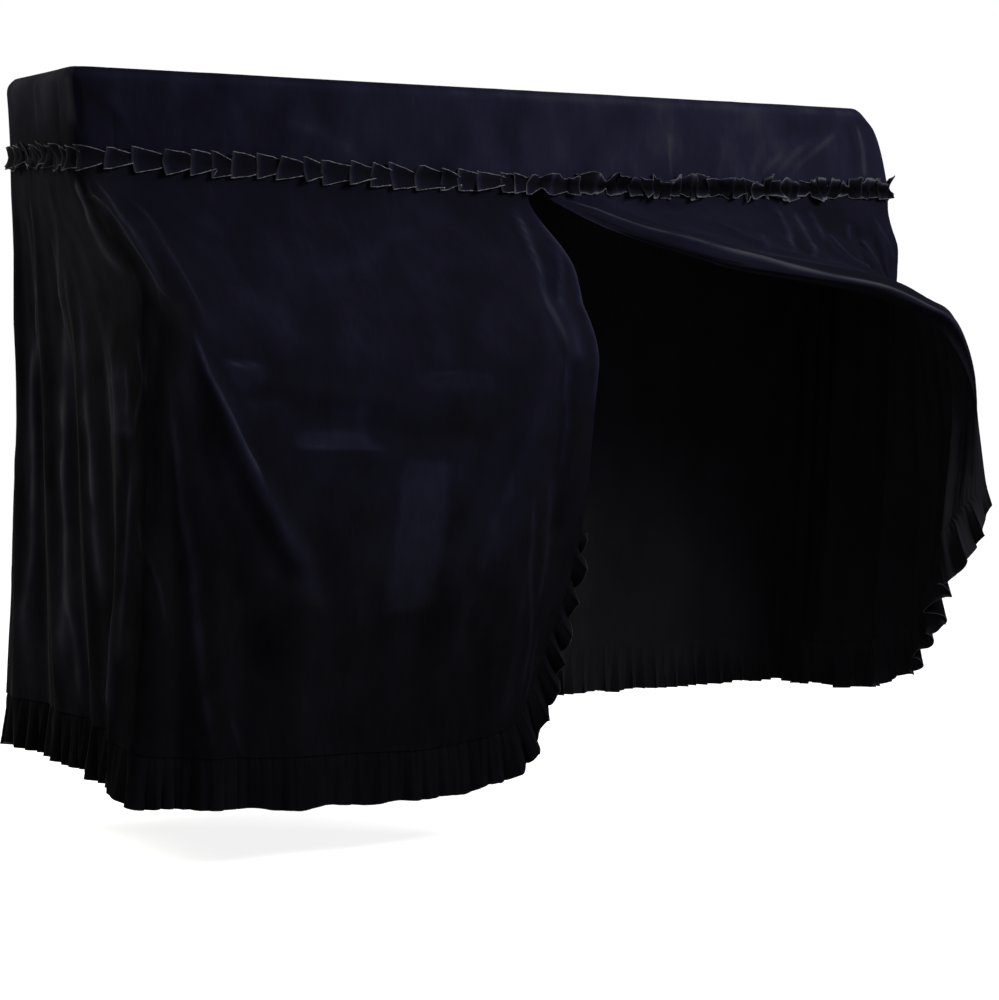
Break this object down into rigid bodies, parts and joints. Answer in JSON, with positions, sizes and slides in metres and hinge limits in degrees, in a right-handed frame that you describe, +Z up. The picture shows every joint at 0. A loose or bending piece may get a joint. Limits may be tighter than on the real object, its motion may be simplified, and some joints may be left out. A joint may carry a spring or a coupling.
{
  "type": "piano cover",
  "caption": "Draped velvet cover for an upright piano, with a fitted cap, a pleated trim band and frilled hems, one front curtain hanging closed and one thrown back.",
  "frame": {"origin": "the middle of the underside of the cap's flat top, where the cover rests on the instrument's lid", "axes": "+Z up, +X to the right along the instrument's width seen from the front, -Y to the front where the skirt opens"},
  "size_m": [1.6655, 0.6331, 1.1262],
  "materials": {
    "velvet": "short pile velvet, near black with a faint navy sheen",
    "trim_velvet": "pleated velvet with a thin grey thread along its edges"
  },
  "bodies": {
    "root": {"cap_top": "velvet", "cap_front": "velvet", "cap_end_right": "velvet", "cap_back": "velvet", "cap_end_left": "velvet", "curtain_left": "velvet", "curtain_right": "velvet", "panel_back": "velvet", "pleated_trim": "trim_velvet", "frill_left": "trim_velvet", "frill_right": "trim_velvet", "frill_back": "trim_velvet"}
  },
  "joints": []
}
